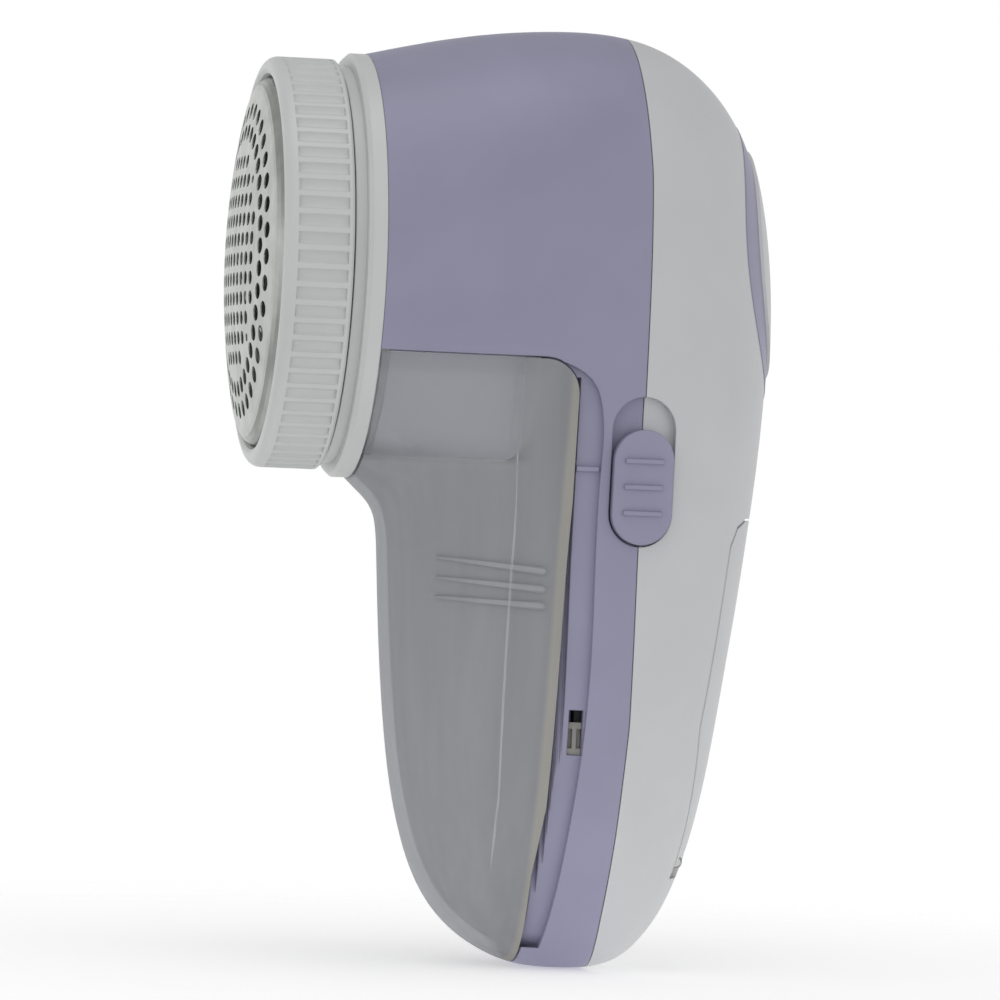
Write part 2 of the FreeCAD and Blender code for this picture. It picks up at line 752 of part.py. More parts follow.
def motor_terminals():
    """Brush springs inside the motor and their tags behind it."""
    x1 = motor_front_x + motor_len
    arm = box(x1 - 4.6, x1 - 4.0, 2.95, 6.2, head_z - 1.5, head_z + 1.5)
    blade = box(x1 - 4.6, x1 + 5.2, 5.7, 6.1, head_z - 1.5, head_z + 1.5)
    one = arm.fuse(blade)
    one = one.cut(Part.makeCylinder(0.6, 6, V(x1 + 4.0, 3, head_z), V(0, 1, 0)))
    return Part.makeCompound(both_sides(one_solid(one)))


def motor_magnets():
    x0 = motor_front_x
    ring = tube_x(8.95, 6.7, x0 + 4.0, x0 + 20.0)
    out = []
    for y0, y1 in ((3.2, 12.0), (-12.0, -3.2)):
        out.append(ring.common(box(x0, x0 + 30, y0, y1, head_z - 6.3, head_z + 6.3)))
    return Part.makeCompound(out)


def armature():
    x0 = motor_front_x + 6.0
    x1 = x0 + 12.0
    s = tube_x(6.2, shaft_r + seat_gap, x0, x1)
    for k in range(3):
        slot = tube_x(5.3, 2.6, x0 - 1, x1 + 1)
        wedge = box(x0 - 2, x1 + 2, -9, 9, head_z + 1.5, head_z + 9)
        wedge2 = about_head(wedge, 60)
        mouth = box(x0 - 2, x1 + 2, -0.7, 0.7, head_z + 5, head_z + 8)
        half = about_head(mouth, 30)
        s = s.cut(about_head(slot.common(wedge).common(wedge2), 120 * k))
        s = s.cut(about_head(half, 120 * k))
    return one_solid(s)


def rotor_windings():
    x0 = motor_front_x + 6.0
    x1 = x0 + 12.0
    out = []
    for k in range(3):
        fill = tube_x(5.15, 2.75, x0 - 1.0, x1 + 1.0)
        wedge = box(x0 - 3, x1 + 3, -9, 9, head_z + 1.7, head_z + 9)
        wedge2 = box(x0 - 3, x1 + 3, -9, 9, head_z + 1.7, head_z + 9)
        out.append(about_head(fill.common(wedge).common(about_head(wedge2, 60)), 120 * k))
    return Part.makeCompound(out)


def commutator():
    x1 = motor_front_x + motor_len
    return tube_x(2.6, shaft_r + seat_gap, x1 - 5.4, x1 - 1.0)


def motor_shaft():
    return rod_x(shaft_r, -48.6, motor_front_x + motor_len + 3.2)


def saddle(z0, z1, trim):
    s = box(-27.0, -10.0, -14.5, 14.5, z0, z1)
    s = s.common(trim).cut(motor_body(0.1))
    for x in (-23.5, -13.5):
        for y in (-12.2, 12.2):
            s = s.cut(Part.makeCylinder(0.9, 16, V(x, y, head_z - 6), V(0, 0, 1)))
    return one_solid(s)


def motor_cradle():
    return saddle(bin_top_z + move_gap + 1.8 + 0.05, head_z - 0.1, envelope(shell_t + 0.1))


def motor_clamp():
    s = saddle(head_z + 0.1, head_z + 9.6, envelope(shell_t + 0.1))
    step = box(-30, -5, 10.9, 20, head_z + 3.0, head_z + 12)
    for side in both_sides(step):
        s = s.cut(side)
    return one_solid(s)


def clamp_screws():
    out = []
    for x in (-23.5, -13.5):
        for y in (-12.2, 12.2):
            top = head_z + 3.05
            shank = Part.makeCylinder(0.85, 8.0, V(x, y, top - 7.9), V(0, 0, 1))
            head = Part.makeCylinder(1.2, 1.2, V(x, y, top), V(0, 0, 1))
            out.append(shank.fuse(head).removeSplitter())
    return Part.makeCompound(out)


# ---------------------------------------------------------------- battery bay
def cell(y, up):
    body = Part.makeCylinder(cell_r, cell_len - 1.2, V(0, y, 0), V(0, 0, 1))
    body = body.makeFillet(0.7, [body.Edges[0], body.Edges[2]])
    nub = Part.makeCylinder(2.7, 1.4, V(0, y, cell_len - 1.4), V(0, 0, 1))
    s = body.fuse(nub).removeSplitter()
    if not up:
        s.rotate(V(0, y, cell_len / 2), V(1, 0, 0), 180)
    return in_bay(s)


def battery_tray():
    ends = [box(-12, 7.0, -20, 20, -4.9, -3.1), box(-12, 7.0, -20, 20, 53.6, 55.4)]
    s = box(-12, 0.5, -20, 20, -4.9, 55.4).fuse(ends)
    for y in (-cell_y, cell_y):
        s = s.cut(Part.makeCylinder(cell_r + 0.2, 56.7, V(0, y, -3.1), V(0, 0, 1)))
        s = s.cut(box(-1.2, 1.2, y + 4.6, y + 5.6, 50, 60))
    s = s.cut(box(-4.8, 4.0, -11.2, 11.2, -3.1, -2.2))
    s = in_bay(s)
    s = s.common(envelope(shell_t + 0.15)).cut(partition_region(move_gap + 1.8 + 0.15))
    s = s.cut(box(-3, 16, -40, -15.6, 55, 95))
    x0, x1, z0, z1 = latch_window
    for side in both_sides(box(x0 - 1, x1 + 0.15, latch_y - 1.75, 40, z0 - 1, z1 + 1)):
        s = s.cut(side)
    return one_solid(s)


def contact_springs():
    out = []
    for y, z in ((-cell_y, -2.45), (cell_y, 50.6)):
        path = Part.makeHelix(0.75, 2.0, 3.0)
        prof = Part.Wire([Part.makeCircle(0.2, V(3.0, 0, 0), V(0, 1, 0))])
        coil = Part.Wire(path).makePipeShell([prof], True, True)
        coil.translate(V(0, y, z + 0.2))
        out.append(in_bay(coil))
    return Part.makeCompound(out)


def contact_link():
    s = box(-4.5, 3.0, -cell_y - 3.3, cell_y + 3.3, -2.95, -2.5)
    s = s.fuse(Part.makeCylinder(2.4, 2.45, V(0, cell_y, -2.55), V(0, 0, 1)))
    return in_bay(s.removeSplitter())


def top_contact(y, nub):
    s = box(-4.5, 4.5, y - 4.5, y + 5.4, 53.05, 53.5)
    if nub:
        s = s.fuse(Part.makeCylinder(2.4, 2.45, V(0, y, 50.65), V(0, 0, 1)))
    s = s.fuse(box(-1.0, 1.0, y + 4.9, y + 5.35, 53.1, 58.5))
    return in_bay(s.removeSplitter())


# ---------------------------------------------------------------- battery cover
def battery_cover():
    wall = skin_out.cut(envelope(cover_t))
    s = wall.common(prism_x(cover_outline(move_gap), 8.0))
    notch = box(hinge_x - 10, hinge_x + 8, -7.1, 7.1, hinge_z - 3, hinge_z + 1.9)
    low = box(hinge_x - 20, hinge_x + 8, -20, 20, hinge_z - 4, hinge_z - 0.2)
    s = s.cut(notch).cut(low)
    knuckle = Part.makeCylinder(hinge_depth - 0.05, 8.0, V(hinge_x, -4.0, hinge_z), V(0, 1, 0))
    web = wall.common(box(hinge_x - 3, hinge_x + 6, -4.0, 4.0, hinge_z, hinge_z + 3))
    s = s.fuse([knuckle, web])
    s = s.cut(Part.makeCylinder(hinge_pin_r + run_gap, 20, V(hinge_x, -10, hinge_z), V(0, 1, 0)))
    tab = box(outer_x(cover_top_z) - 4.2, outer_x(cover_top_z) - 1.0, -3.5, 3.5, cover_top_z - 2.5,
              cover_top_z - 0.5)
    for y in (-9.0, 0.0, 9.0):
        rib = box(10, 40, y - 0.6, y + 0.6, 61.0, 64.0).common(envelope(1.0)).cut(envelope(3.4))
        s = s.fuse(rib)
    return one_solid(s.fuse(tab))


def cover_pad():
    layer = envelope(cover_t + 0.05).cut(envelope(3.5))
    return one_solid(layer.common(box(8, 40, -11, 11, 31, 58)))


def hinge_pin():
    return Part.makeCylinder(hinge_pin_r, 13.4, V(hinge_x, -6.7, hinge_z), V(0, 1, 0))


# ---------------------------------------------------------------- lint bin
def bin_ridges():
    """Three tapered finger grips on each side."""
    bars = []
    for zf, zr in ((59.4, 58.0), (56.5, 55.4), (53.7, 53.0)):
        bars.append(prism_y([(-22.0, zf - 0.15), (-7.5, zr - 0.55), (-7.0, zr), (-7.5, zr + 0.55), (-22.0, zf + 0.15)]))
    body = Part.makeCompound(bars)
    return body.common(envelope(-0.45).cut(envelope(0.4)))


def lint_bin():
    front = box(body_front_x + move_gap, 60, -60, 60, -10, 200)
    region = bin_region(0.0).common(front)
    s = skin_out.common(region)
    s = s.cut(envelope(bin_t))
    rim = bin_region(0.0).cut(bin_region(-2.2)).common(front)
    rim = rim.common(skin_out).cut(envelope(rim_t))
    s = s.fuse(rim)
    s = s.fuse(bin_ridges().Solids)
    return one_solid(s)


def bin_latches():
    """Clear latch tongues in the windows of the ledge, waisted like a letter I."""
    x0, x1, z0, z1 = latch_window
    top = z1 - 1.8
    g = seat_gap
    tongue = box(x0 + g, x1 - g, latch_y - 1.6, latch_y, z0 + g, top)
    for xa, xb in ((x0 - 1, x0 + 0.75), (x1 - 0.75, x1 + 1)):
        tongue = tongue.cut(box(xa, xb, latch_y - 0.8, latch_y + 1, z0 + 0.95, top - 0.9))
    return Part.makeCompound(both_sides(tongue))


# ---------------------------------------------------------------- switch
def switch_knob():
    y_in = -21.0
    z0 = knob_z - knob_h / 2
    z1 = knob_z + knob_h / 2
    cap = obround_y(knob_x, z0, z1, knob_w, -40, -15)
    cap = cap.common(envelope(-knob_proud)).cut(envelope(pocket_d - 2.2 * move_gap))
    ribs = []
    for k in (-1, 0, 1):
        z = knob_z + 3.75 * k
        ribs.append(box(knob_x - 2.9, knob_x + 2.9, -40, -15, z - 0.35, z + 0.35))
    rib = Part.makeCompound(ribs).common(envelope(-knob_proud - 0.45).cut(envelope(-0.5)))
    stem = box(knob_x - 1.4, knob_x + 1.4, -24.0, -18.9, knob_z - 1.5, knob_z + 1.5)
    return one_solid(cap.fuse(rib.Solids + [stem]))


def switch_slider():
    s = box(knob_x - 4.0, knob_x + 4.0, -21.1, -19.0, knob_z - 5.0, knob_z + 5.0)
    s = s.common(envelope(shell_t + move_gap))
    hole = box(knob_x - 1.45, knob_x + 1.45, -30, -10, knob_z - 1.55, knob_z + 1.55)
    return one_solid(s.cut(hole))


def switch_base():
    x0 = knob_x - 6.0
    x1 = knob_x + 6.0
    s = box(x0, x1, -40, -16.6, 59.0, 87.0).common(envelope(shell_t + 0.1))
    s = s.cut(box(x0 - 1, x1 + 1, -40, -17.8, 61.0, 85.0))
    for x in (knob_x - 2.5, knob_x + 2.5):
        s = s.cut(box(x - 0.8, x + 0.8, -20, -15, 81.0, 81.6))
    return one_solid(s)


def switch_contacts():
    out = []
    for x in (knob_x - 2.5, knob_x + 2.5):
        strip = box(x - 1.3, x + 1.3, -18.4, -18.0, 63.0, 82.0)
        tail = box(x - 0.7, x + 0.7, -18.2, -14.2, 81.1, 81.5)
        out.append(strip.fuse(tail).removeSplitter())
    return Part.makeCompound(out)


# ---------------------------------------------------------------- wiring
def wire(points):
    curve = Part.BSplineCurve()
    curve.interpolate([V(*p) for p in points])
    path = Part.Wire([curve.toShape()])
    start = curve.value(curve.FirstParameter)
    along = curve.tangent(curve.FirstParameter)[0]
    prof = Part.Wire([Part.makeCircle(0.6, start, along)])
    return path.makePipeShell([prof], True, False)


def bay_point(x, y, z):
    t = math.radians(cell_tilt)
    return (cell_foot.x + x * math.cos(t) + z * math.sin(t), y, cell_foot.z - x * math.sin(t) + z * math.cos(t))


def wires():
    a = bay_point(0, -cell_y + 5.1, 59.3)
    red = wire([a, (a[0] + 1, -6, 79), (12, -10.5, 82), (knob_x + 2.5, -13.4, 81.3)])
    b = bay_point(0, cell_y + 5.1, 59.3)
    black = wire([b, (b[0], 11.5, 82), (9, 11, 92), (3.5, 9.5, 99), (0.3, 5.9, head_z)])
    blue = wire([(knob_x - 2.5, -13.4, 81.3), (5.5, -10.5, 86), (5, -9.5, 95), (0.3, -5.9, head_z)])
    return red, black, blue


# ---------------------------------------------------------------- fasteners
def case_screws():
    out = []
    for x, z in screw_spots:
        shank = rod_x(screw_r, x - screw_len, x + 0.2, 0, z)
        head = rod_x(screw_head_r, x + 0.02, x + screw_head_h, 0, z)
        slot = box(x + screw_head_h - 0.7, x + 5, -0.4, 0.4, z - 1.5, z + 1.5)
        cross = box(x + screw_head_h - 0.7, x + 5, -1.5, 1.5, z - 0.4, z + 0.4)
        out.append(shank.fuse(head).cut(slot).cut(cross).removeSplitter())
    return Part.makeCompound(out)


save("front_housing", front_housing())
save("rear_housing", rear_housing())
save("accent_ring", accent_ring())
save("badge_panel", badge_panel())
save("collar", collar())
save("chamber_wall", chamber_wall())
save("chamber_screws", chamber_screws())
save("lint_hood", lint_hood())
save("guard_ring", guard_ring())
save("shaving_foil", shaving_foil())
save("foil_frame", foil_frame())
save("blade_carrier", blade_carrier())
save("blades", blades())
save("carrier_cap", carrier_cap())
save("impeller", impeller())
save("drive_coupling", drive_coupling())
save("motor_can", motor_can())
save("motor_bushes", motor_bushes())
save("motor_end_cap", motor_end_cap())
save("motor_terminals", motor_terminals())
save("motor_magnets", motor_magnets())
save("armature", armature())
save("rotor_windings", rotor_windings())
save("commutator", commutator())
save("motor_shaft", motor_shaft())
save("motor_cradle", motor_cradle())
save("motor_clamp", motor_clamp())
save("clamp_screws", clamp_screws())
save("battery_left", cell(-cell_y, True))
save("battery_right", cell(cell_y, False))
save("battery_tray", battery_tray())
save("contact_springs", contact_springs())
save("contact_link", contact_link())
save("contact_positive", top_contact(-cell_y, True))
save("contact_negative", top_contact(cell_y, False))
save("battery_cover", battery_cover())
save("cover_pad", cover_pad())
save("hinge_pin", hinge_pin())
save("lint_bin", lint_bin())
save("bin_latches", bin_latches())
save("switch_knob", switch_knob())
save("switch_slider", switch_slider())
save("switch_base", switch_base())
save("switch_contacts", switch_contacts())
red_wire, black_wire, blue_wire = wires()
save("wire_red", red_wire)
save("wire_black", black_wire)
save("wire_blue", blue_wire)
save("case_screws", case_screws())
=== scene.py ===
import math

import bpy
from bpy.props import FloatProperty, PointerProperty, StringProperty
from mathutils import Matrix, Vector

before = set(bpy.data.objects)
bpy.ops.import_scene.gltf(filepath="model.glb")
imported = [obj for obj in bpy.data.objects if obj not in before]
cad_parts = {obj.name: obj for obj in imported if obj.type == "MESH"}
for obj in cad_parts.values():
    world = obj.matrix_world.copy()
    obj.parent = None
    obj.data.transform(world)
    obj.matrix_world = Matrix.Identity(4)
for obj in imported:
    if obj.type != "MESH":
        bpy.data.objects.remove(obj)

bl_info = {
    "name": "Fabric shaver looks",
    "version": (1, 0, 0),
    "blender": (4, 5, 0),
    "location": "3D View > Sidebar > Shaver",
    "description": "Finishes and studio for the fabric shaver",
    "category": "Object",
}


# ---------------------------------------------------------------- settings
class ShaverColours(bpy.types.PropertyGroup):
    lilac: StringProperty(name="Lilac shell", description="Front shell, switch and back band", default="#9694AD")
    white: StringProperty(name="White shell", description="Rear shell, cover, back panel", default="#CCCDCF")
    ring: StringProperty(name="Ring white", description="Guard ring and collar", default="#D0D2D1")
    bin: StringProperty(name="Bin", description="Clear lint bin", default="#C6C8CC")
    # the bin rim tone is a painted highlight: a warm pale film laid on the thick rear rim
    rim: StringProperty(name="Bin rim", description="Thick rear rim of the bin", default="#B3B1AB")
    hood: StringProperty(name="Hood", description="Duct seen through the bin", default="#F1F1F4")
    foil: StringProperty(name="Foil", description="Stamped shaving foil", default="#B9BCB8")
    blade: StringProperty(name="Blade", description="Ground blades and shaft", default="#C4C6C8")
    zinc: StringProperty(name="Zinc", description="Screws, pins and springs", default="#C9C9C6")
    nickel: StringProperty(name="Nickel", description="Contact strips", default="#CFC9BE")
    bronze: StringProperty(name="Bronze", description="Sintered bushes", default="#A9764A")
    copper: StringProperty(name="Copper", description="Windings and commutator", default="#C8794F")
    black: StringProperty(name="Black nylon", description="Inner plastic parts", default="#2A2B2D")
    acetal: StringProperty(name="Grey acetal", description="Cutter hub and motor end", default="#5A5C5E")
    ferrite: StringProperty(name="Ferrite", description="Motor magnets", default="#2E2E31")
    lamination: StringProperty(name="Lamination", description="Stack of rotor plates", default="#6B6C6E")
    cell: StringProperty(name="Cell film", description="Film round the cells", default="#35506B")
    can: StringProperty(name="Cell can", description="Bare steel at the ends of the cells", default="#B8B9B8")
    foam: StringProperty(name="Foam", description="Pad behind the cells", default="#2B2B2B")
    red: StringProperty(name="Red lead", description="Positive lead", default="#A8201C")
    blue: StringProperty(name="Blue lead", description="Switched lead", default="#23418E")
    floor: StringProperty(name="Floor", description="Studio floor", default="#F2F2F2")


class ShaverSizes(bpy.types.PropertyGroup):
    shell_grain: FloatProperty(name="Shell grain", description="Width of the etched grain of the shells",
                               default=0.00032, min=0.00001, subtype="DISTANCE", unit="LENGTH")
    shell_relief: FloatProperty(name="Shell relief", description="Height of that grain",
                                default=0.000010, min=0.0, subtype="DISTANCE", unit="LENGTH")
    flow_width: FloatProperty(name="Flow marks", description="Width of the tone changes left by moulding",
                              default=0.012, min=0.001, subtype="DISTANCE", unit="LENGTH")
    edge_soft: FloatProperty(name="Edge softness", description="Radius worn on moulded edges",
                             default=0.00025, min=0.0, subtype="DISTANCE", unit="LENGTH")
    brush_width: FloatProperty(name="Brush lines", description="Spacing of the lines on drawn steel",
                               default=0.00012, min=0.00001, subtype="DISTANCE", unit="LENGTH")
    plate_step: FloatProperty(name="Plate thickness", description="Thickness of one rotor plate",
                              default=0.0005, min=0.0001, subtype="DISTANCE", unit="LENGTH")
    wire_step: FloatProperty(name="Winding wire", description="Diameter of the winding wire",
                             default=0.00028, min=0.00005, subtype="DISTANCE", unit="LENGTH")
    foam_cell: FloatProperty(name="Foam cell", description="Width of one bubble of the foam",
                             default=0.0006, min=0.0001, subtype="DISTANCE", unit="LENGTH")
    view_distance: FloatProperty(name="Camera distance", description="From the middle of the shaver",
                                 default=0.95, min=0.2, subtype="DISTANCE", unit="LENGTH")
    view_width: FloatProperty(name="Width in view", description="Width seen at the shaver",
                              default=0.14706, min=0.05, subtype="DISTANCE", unit="LENGTH")


ROOM_BAND = 1.0           # light of the air at eye level
ROOM_REST = 0.44          # light of the air above and below
BAND_TOP = 0.12           # rise of a direction where the bright band starts to fade
REST_START = 0.48         # rise where it has faded
FLOOR_GLOW = 0.38         # light that the backdrop gives by itself
FLOOR_SOLID = 0.04        # radius in metres up to which the backdrop is solid
FLOOR_GONE = 0.19         # radius where it has faded out
LAMPS = (("key", (-0.35, -0.80, 0.70), 0.7), ("top", (-0.10, -0.15, 0.95), 1.3))   # name, place, watts
LAMP_WIDTH = 0.6
VIEW_MIDDLE = (-0.010, 0.0, 0.068)
VIEW_TURN = -10.0         # degrees round the shaver from its switch side
VIEW_ROLL = 2.3           # degrees of camera tilt
SENSOR = 36.0             # camera sensor width in millimetres

ABS_IOR = 1.53
BIN_IOR = 1.45
BIN_SCUFF = 0.000002      # depth of the scuffs on the bin
BIN_TINT = (0.90, 0.905, 0.92, 1.0)
SEE_SHARE = 0.85          # share of light that goes straight through the clean wall
RIM_LEAN = 0.034          # slope of the bin's rear edge, front to back over height
RIM_START = -0.0079       # where its thick rim begins, in metres at the foot
RIM_BLUR = 0.0007
RIM_HIGHLIGHT_SHARE = 0.16          # film added on the thick rear rim as a painted highlight
FILM_LOW = 0.56           # share of lint film at the bottom of the bin
FILM_HIGH = 0.60          # the same below the duct
FILM_OVER_DUCT = 0.22         # share of film over the duct, kept thin so that this zone is painted lighter where the white duct shows through
FILM_SHADE = 0.76         # tone of the film over the lint
DUCT_LIGHT_TONE = 0.92        # tone of the film over the duct, painted lighter to stand for the white duct showing through
# faint upright streaks in the film share: random tone, painted to stand for vertical highlights
STREAK_WIDTH = 0.0035
STREAK_SHEEN_SHARE = 0.035
DUCT_LOW = 0.0729         # lower edge of the duct
DUCT_REAR = -0.0095       # rear edge of the duct
DUCT_BLUR_LOW = 0.0012
DUCT_BLUR_REAR = 0.0035
RIDGES = ((0.0594, 0.0580), (0.0565, 0.0554), (0.0537, 0.0530))   # heights at the front and rear ends
RIDGE_REAR = -0.0070      # rear end of the finger ridges
RIDGE_RUN = 0.0150        # their length
RIDGE_HALF = 0.0003       # half height of the highlight painted on their crests
RIDGE_HIGHLIGHT_SHARE = 0.14        # film added along the crests as a painted highlight
# span over which the painted highlight on the ridges fades out towards the front
RIDGE_FADE_FRONT = -0.0235
RIDGE_FADE_REAR = -0.0150


# ---------------------------------------------------------------- small helpers
def linear(hex_colour, alpha=1.0):
    """An sRGB hex colour as linear RGBA."""
    digits = hex_colour.lstrip("#")
    out = []
    for k in (0, 2, 4):
        c = int(digits[k:k + 2], 16) / 255
        out.append(c / 12.92 if c <= 0.04045 else ((c + 0.055) / 1.055) ** 2.4)
    return (*out, alpha)


def shade(colour, factor):
    """A linear colour made darker or lighter."""
    return tuple(min(1.0, c * factor) for c in colour[:3]) + (1.0,)


def add(tree, kind, sets=None, **inputs):
    """A new node with its settings and its unlinked input values."""
    node = tree.nodes.new(kind)
    for key, value in (sets or {}).items():
        setattr(node, key, value)
    for key, value in inputs.items():
        node.inputs[key.replace("_", " ")].default_value = value
    return node


def blank(name):
    """An empty material with its output, shader and coordinates in the row frame."""
    mat = bpy.data.materials.new(name)
    mat.use_nodes = True
    tree = mat.node_tree
    tree.nodes.clear()
    out = add(tree, "ShaderNodeOutputMaterial")
    bsdf = add(tree, "ShaderNodeBsdfPrincipled")
    tree.links.new(bsdf.outputs["BSDF"], out.inputs["Surface"])
    coords = add(tree, "ShaderNodeTexCoord")
    return mat, tree, bsdf, coords.outputs["Object"]


def noise(tree, coords, width, detail=3.0, rough=0.5):
    """Soft random pattern whose features are that many metres wide."""
    node = add(tree, "ShaderNodeTexNoise", Scale=1.0 / width, Detail=detail, Roughness=rough)
    tree.links.new(coords, node.inputs["Vector"])
    return node.outputs["Fac"]


def ramp(tree, fac, low, high, start=0.3, end=0.7):
    """Turns a pattern into a run between two values."""
    node = add(tree, "ShaderNodeMapRange", From_Min=start, From_Max=end, To_Min=low, To_Max=high)
    tree.links.new(fac, node.inputs["Value"])
    return node.outputs["Result"]


def blend(tree, fac, one, two):
    """A colour between two colours, led by a pattern."""
    node = add(tree, "ShaderNodeMix", {"data_type": "RGBA"})
    node.inputs[6].default_value = one
    node.inputs[7].default_value = two
    tree.links.new(fac, node.inputs[0])
    return node.outputs[2]


def relief(tree, bsdf, height, depth, soft=0.0):
    """Gives the surface a height pattern on top of softened edges."""
    bump = add(tree, "ShaderNodeBump", Distance=depth)
    tree.links.new(height, bump.inputs["Height"])
    if soft > 0:
        bevel = add(tree, "ShaderNodeBevel", {"samples": 4}, Radius=soft)
        tree.links.new(bevel.outputs["Normal"], bump.inputs["Normal"])
    tree.links.new(bump.outputs["Normal"], bsdf.inputs["Normal"])


def maths(tree, operation, *terms, clamp=False):
    """A number worked out from sockets and plain values."""
    node = add(tree, "ShaderNodeMath", {"operation": operation, "use_clamp": clamp})
    for slot, term in zip(node.inputs, terms):
        if isinstance(term, (int, float)):
            slot.default_value = term
        else:
            tree.links.new(term, slot)
    return node.outputs["Value"]


def stretched(tree, coords, scale):
    """Coordinates stretched per axis, for lines that run one way."""
    node = add(tree, "ShaderNodeMapping", Scale=scale)
    tree.links.new(coords, node.inputs["Vector"])
    return node.outputs["Vector"]


def wear(mat, *nodes):
    """Puts a finish on CAD nodes."""
    for name in nodes:
        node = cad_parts[name]
        node.data.materials.clear()
        node.data.materials.append(mat)


# ---------------------------------------------------------------- finishes
def moulded(name, colour, sizes, rough, tone=0.035):
    """Injection-moulded ABS with an etched satin grain.

    The grain spreads the highlight into a soft sheen, and broad flow marks
    keep large walls from looking like one flat colour.
    """
    mat, tree, bsdf, coords = blank(name)
    base = linear(colour)
    flow = noise(tree, coords, sizes.flow_width, 2.0)
    tint = blend(tree, ramp(tree, flow, 0.0, 1.0), shade(base, 1 - tone), shade(base, 1 + tone))
    tree.links.new(tint, bsdf.inputs["Base Color"])
    grain = noise(tree, coords, sizes.shell_grain, 4.0, 0.6)
    tree.links.new(ramp(tree, grain, rough - 0.06, rough + 0.06), bsdf.inputs["Roughness"])
    bsdf.inputs["IOR"].default_value = ABS_IOR
    relief(tree, bsdf, grain, sizes.shell_relief, sizes.edge_soft)
    return mat


def ridge_highlight_mask(tree, x, z):
    """Mask of the highlight painted on the crests of the finger ridges of the bin: one there, nought elsewhere.
    """
    crest_highlight = 0.0
    for front, rear in RIDGES:
        slope = (front - rear) / RIDGE_RUN
        rise = maths(tree, "MULTIPLY_ADD", x, slope, z)
        crest_highlight = maths(tree, "MAXIMUM", crest_highlight, maths(tree, "COMPARE", rise, rear + RIDGE_REAR * slope, RIDGE_HALF))
    behind = ramp(tree, x, 1.0, 0.0, RIDGE_REAR - 0.0004, RIDGE_REAR)
    ahead = ramp(tree, x, 0.0, 1.0, RIDGE_FADE_FRONT, RIDGE_FADE_REAR)
    return maths(tree, "MULTIPLY", crest_highlight, maths(tree, "MULTIPLY", behind, ahead))


